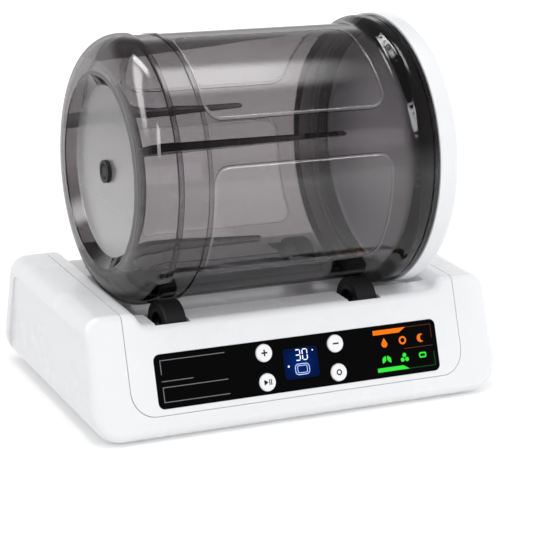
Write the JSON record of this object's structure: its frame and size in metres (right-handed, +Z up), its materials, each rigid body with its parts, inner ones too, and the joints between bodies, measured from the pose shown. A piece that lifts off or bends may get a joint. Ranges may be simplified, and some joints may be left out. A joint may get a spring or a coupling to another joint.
{
  "type": "meat vacuum tumbler",
  "caption": "Table-top meat tumbler: a smoke-clear drum with a bayonet lid and vacuum valve turns on driven rubber rollers in a white cradle base with a control panel.",
  "frame": {"origin": "centre of the footprint on the surface that the rubber feet stand on", "axes": "+X along the drum towards its lid, +Y to the back, +Z up"},
  "size_m": [0.3496, 0.2194, 0.2931],
  "materials": {
    "white_case": "glossy moulded white",
    "white_lid": "glossy moulded white",
    "smoke_clear": "polished see-through smoke grey",
    "black_panel": "polished black",
    "blue_display": "lit blue display window",
    "button_silver": "satin silver white",
    "black_rubber": "matt black",
    "seal_silicone": "translucent grey silicone",
    "grey_plastic": "moulded grey",
    "board": "green circuit board",
    "steel": "bright steel",
    "zinc_plate": "zinc plated sheet",
    "motor_metal": "plated motor can",
    "bush_brass": "sintered bronze"
  },
  "bodies": {
    "base": {"lower_housing": "white_case", "top_cover": "white_case", "bottom_plate": "grey_plastic", "rubber_feet": "black_rubber", "case_screws": "steel", "control_panel": "black_panel", "display_window": "blue_display", "display_module": "grey_plastic", "control_board": "board", "board_screws": "steel", "tact_switches": "grey_plastic", "power_inlet": "grey_plastic", "left_bearing_plate": "zinc_plate", "right_bearing_plate": "zinc_plate", "shaft_bushes": "bush_brass", "drive_belt": "black_rubber", "gearbox": "motor_metal", "drive_motor": "motor_metal", "motor_screws": "steel"},
    "drum": {"drum_shell": "smoke_clear", "valve_body": "black_rubber"},
    "lid": {"lid": "white_lid", "lid_seal": "seal_silicone"},
    "valve_plug": {"valve_plug": "black_rubber"},
    "drive_rollers": {"drive_shaft": "steel", "drive_hubs": "grey_plastic", "drive_tyres": "black_rubber", "drive_clips": "steel", "shaft_pulley": "grey_plastic"},
    "idle_rollers": {"idler_shaft": "steel", "idler_hubs": "grey_plastic", "idler_tyres": "black_rubber", "idler_clips": "steel"},
    "motor_output": {"motor_pulley": "grey_plastic", "output_shaft": "steel"},
    "button_plus": {"button_plus": "button_silver"},
    "button_minus": {"button_minus": "button_silver"},
    "button_start": {"button_start": "button_silver"},
    "button_stop": {"button_stop": "button_silver"}
  },
  "joints": [
    {"name": "drum_spin", "type": "hinge", "parent": "base", "child": "drum", "pos_m": [0, 0, 0.1834], "axis": [1, 0, 0], "continuous": true},
    {"name": "lid_turn", "type": "hinge", "parent": "drum", "child": "lid", "pos_m": [0, 0, 0.1834], "axis": [1, 0, 0], "range_deg": [0, 45]},
    {"name": "valve_pull", "type": "slide", "parent": "drum", "child": "valve_plug", "axis": [-1, 0, 0], "range_m": [0, 0.003]},
    {"name": "drive_spin", "type": "hinge", "parent": "base", "child": "drive_rollers", "pos_m": [0, -0.0542, 0.07399], "axis": [1, 0, 0], "continuous": true},
    {"name": "idle_spin", "type": "hinge", "parent": "base", "child": "idle_rollers", "pos_m": [0, 0.0542, 0.07399], "axis": [1, 0, 0], "continuous": true},
    {"name": "motor_spin", "type": "hinge", "parent": "base", "child": "motor_output", "pos_m": [0, -0.01, 0.037], "axis": [1, 0, 0], "continuous": true},
    {"name": "button_plus_press", "type": "slide", "parent": "base", "child": "button_plus", "axis": [0, 0.9298, -0.3681], "range_m": [0, 0.0008], "stiffness_N_per_m": 1500},
    {"name": "button_minus_press", "type": "slide", "parent": "base", "child": "button_minus", "axis": [0, 0.9298, -0.3681], "range_m": [0, 0.0008], "stiffness_N_per_m": 1500},
    {"name": "button_start_press", "type": "slide", "parent": "base", "child": "button_start", "axis": [0, 0.9298, -0.3681], "range_m": [0, 0.0008], "stiffness_N_per_m": 1500},
    {"name": "button_stop_press", "type": "slide", "parent": "base", "child": "button_stop", "axis": [0, 0.9298, -0.3681], "range_m": [0, 0.0008], "stiffness_N_per_m": 1500}
  ],
  "couplings": [
    {"joint": "drive_spin", "follows": "drum_spin", "ratio": -5.2462},
    {"joint": "idle_spin", "follows": "drum_spin", "ratio": -5.2462},
    {"joint": "motor_spin", "follows": "drum_spin", "ratio": -7.8692}
  ]
}
